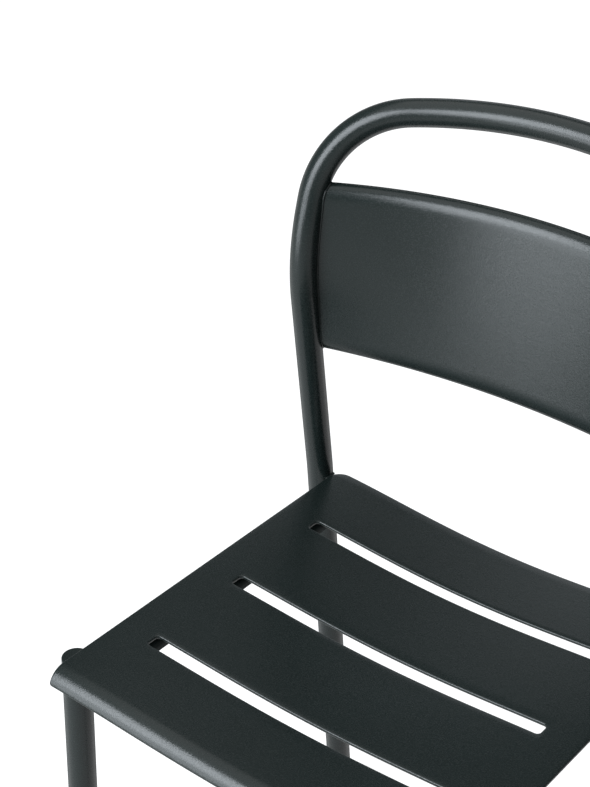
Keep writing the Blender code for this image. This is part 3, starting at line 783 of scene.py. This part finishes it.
def glide(name, foot, lean):
    """Plug with its pad, turned on the leg's axis and cut flat at the floor."""
    plug_r = bore - WELD_GAP
    profile = [(0.0, -3 * GLIDE_PAD), (TUBE_R, -3 * GLIDE_PAD), (TUBE_R, -WELD_GAP - PAD_RIM),
               (TUBE_R - PAD_RIM, -WELD_GAP), (plug_r, -WELD_GAP), (plug_r, PLUG_LENGTH - PLUG_LEAD),
               (plug_r - PLUG_LEAD, PLUG_LENGTH), (0.0, PLUG_LENGTH)]
    ob = lathed(name, profile[::-1], foot, lean, TUBE_SIDES, GLIDE_PLASTIC)
    bm = bmesh.new()
    bm.from_mesh(ob.data)
    floor_cut = bmesh.ops.bisect_plane(bm, geom=bm.verts[:] + bm.edges[:] + bm.faces[:],
                                       plane_co=(0, 0, 0), plane_no=(0, 0, -1), clear_outer=True)
    edges = [e for e in floor_cut["geom_cut"] if isinstance(e, bmesh.types.BMEdge)]
    sole = bmesh.ops.edgeloop_fill(bm, edges=edges)["faces"][0]
    bmesh.ops.bevel(bm, geom=list(sole.edges), offset=PAD_EDGE, segments=EDGE_ARC_STEPS,
                    affect='EDGES', profile=0.5)
    bmesh.ops.recalc_face_normals(bm, faces=bm.faces)
    bm.to_mesh(ob.data)
    bm.free()
    ob.data.shade_smooth()
    ob.data.set_sharp_from_angle(angle=PAD_SHARP_ANGLE)
    return ob


for side, word in ((-1, "left"), (1, "right")):
    for end, x, y, lean in (("front", FRONT_LEG_X, front_foot_y, -FRONT_LEG_LEAN),
                            ("rear", HOOP_X, LEFT_LINE[0][1], REAR_LEG_LEAN)):
        pad = glide("%s_glide_%s" % (end, word), (side * x, y + SEAT_MIDDLE_Y, GLIDE_PAD), lean)
        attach(pad, "root")
        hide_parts("foot_glide_%s_%s" % (end, word))

# Studio floor
# A wide flat floor that shows white to the camera and in reflections, and still takes a soft shadow.
FLOOR_HALF = 60.0
FLOOR_COLOUR = (0.82, 0.82, 0.82)
FLOOR_GLOW = 0.90
SHADOW_SHARE = 0.2
mesh = bpy.data.meshes.new("studio_floor")
bm = bmesh.new()
bmesh.ops.create_grid(bm, x_segments=8, y_segments=8, size=FLOOR_HALF)
bm.to_mesh(mesh)
bm.free()
floor = bpy.data.objects.new("studio_floor", mesh)
bpy.context.scene.collection.objects.link(floor)
mat = bpy.data.materials.new("white_sweep")
mat.use_nodes = True
tree = mat.node_tree
tree.nodes.clear()
out = node(tree, 'ShaderNodeOutputMaterial', (700, 0))
seen = node(tree, 'ShaderNodeMath', (-200, 300), operation='MAXIMUM')
seen_all = node(tree, 'ShaderNodeMath', (0, 300), operation='MAXIMUM')
rays = node(tree, 'ShaderNodeLightPath', (-500, 300))
tree.links.new(rays.outputs["Is Camera Ray"], seen.inputs[0])
tree.links.new(rays.outputs["Is Glossy Ray"], seen.inputs[1])
tree.links.new(seen.outputs[0], seen_all.inputs[0])
tree.links.new(rays.outputs["Is Transmission Ray"], seen_all.inputs[1])
matt = node(tree, 'ShaderNodeBsdfDiffuse', (0, 0))
matt.inputs["Color"].default_value = (*FLOOR_COLOUR, 1.0)
dim = node(tree, 'ShaderNodeBsdfDiffuse', (0, -200))
dim.inputs["Color"].default_value = (SHADOW_SHARE, SHADOW_SHARE, SHADOW_SHARE, 1.0)
glow = node(tree, 'ShaderNodeEmission', (0, -400))
glow.inputs["Color"].default_value = (1.0, 1.0, 1.0, 1.0)
glow.inputs["Strength"].default_value = FLOOR_GLOW
white = node(tree, 'ShaderNodeAddShader', (250, -300))
tree.links.new(dim.outputs[0], white.inputs[0])
tree.links.new(glow.outputs[0], white.inputs[1])
pick = node(tree, 'ShaderNodeMixShader', (450, 0))
tree.links.new(seen_all.outputs[0], pick.inputs[0])
tree.links.new(matt.outputs[0], pick.inputs[1])
tree.links.new(white.outputs[0], pick.inputs[2])
tree.links.new(pick.outputs[0], out.inputs["Surface"])
floor.data.materials.append(mat)

# Studio light
# A tall and a low soft box at the front left light the back and the seat's rolled edge. A weak one
# behind and a wide one overhead lift the seat, and the surround is evenly pale.
SURROUND_COLOUR = (0.96, 0.98, 1.0)
SURROUND_LEVEL = 0.25


def softbox(name, place, target, width, height, radiance, colour=(1.0, 1.0, 1.0)):
    """Evenly bright rectangle that faces its target."""
    lamp = bpy.data.lights.new(name, 'AREA')
    lamp.shape = 'RECTANGLE'
    lamp.size, lamp.size_y = width, height
    lamp.energy = radiance * math.pi * width * height
    lamp.color = colour
    ob = bpy.data.objects.new(name, lamp)
    ob.location = place
    way = Vector(target) - Vector(place)
    ob.rotation_euler = way.to_track_quat('-Z', 'Y').to_euler()
    bpy.context.scene.collection.objects.link(ob)
    return ob


def around(turn, distance, height):
    """Place at a turn from the front, positive to the right, a distance and a height above the floor."""
    turn = math.radians(turn)
    return (distance * math.sin(turn), -distance * math.cos(turn), height)


COOL_WHITE = (0.89, 0.945, 1.0)
CHAIR_MIDDLE = (0.0, 0.0, 0.62)
softbox("key_softbox", around(turn=-21.0, distance=2.15, height=1.80), CHAIR_MIDDLE,
        width=1.7, height=1.6, radiance=17.0, colour=COOL_WHITE)
softbox("low_softbox", around(turn=-30.0, distance=2.3, height=0.58), CHAIR_MIDDLE,
        width=1.4, height=0.8, radiance=8.4, colour=COOL_WHITE)
softbox("rear_softbox", around(turn=-160.0, distance=2.6, height=1.05), CHAIR_MIDDLE,
        width=2.4, height=1.5, radiance=0.9, colour=COOL_WHITE)
softbox("overhead_softbox", (0.0, 0.0, 3.0), (0.0, 0.0, SEAT_HEIGHT),
        width=3.2, height=3.2, radiance=1.8)
world = bpy.data.worlds.new("studio_surround")
world.use_nodes = True
surround = world.node_tree.nodes["Background"]
surround.inputs["Color"].default_value = (*SURROUND_COLOUR, 1.0)
surround.inputs["Strength"].default_value = SURROUND_LEVEL
bpy.context.scene.world = world

# Camera
# Long lens from the front right, looking down on the near half of the seat and back.
CAMERA_PLACE = (0.66433, -1.00506, 1.44002)
CAMERA_TURN = math.radians(37.919)
CAMERA_DOWN = math.radians(32.146)
CAMERA_LENS = 83.109
camera = bpy.data.cameras.new("camera")
camera.lens = CAMERA_LENS
camera.sensor_fit = 'AUTO'
camera.sensor_width = 36.0
camera.clip_start, camera.clip_end = 0.05, 200.0
viewer = bpy.data.objects.new("camera", camera)
viewer.location = CAMERA_PLACE
viewer.rotation_euler = (math.pi / 2 - CAMERA_DOWN, 0.0, CAMERA_TURN)
bpy.context.scene.collection.objects.link(viewer)
bpy.context.scene.camera = viewer
bpy.context.scene.view_settings.view_transform = 'Standard'
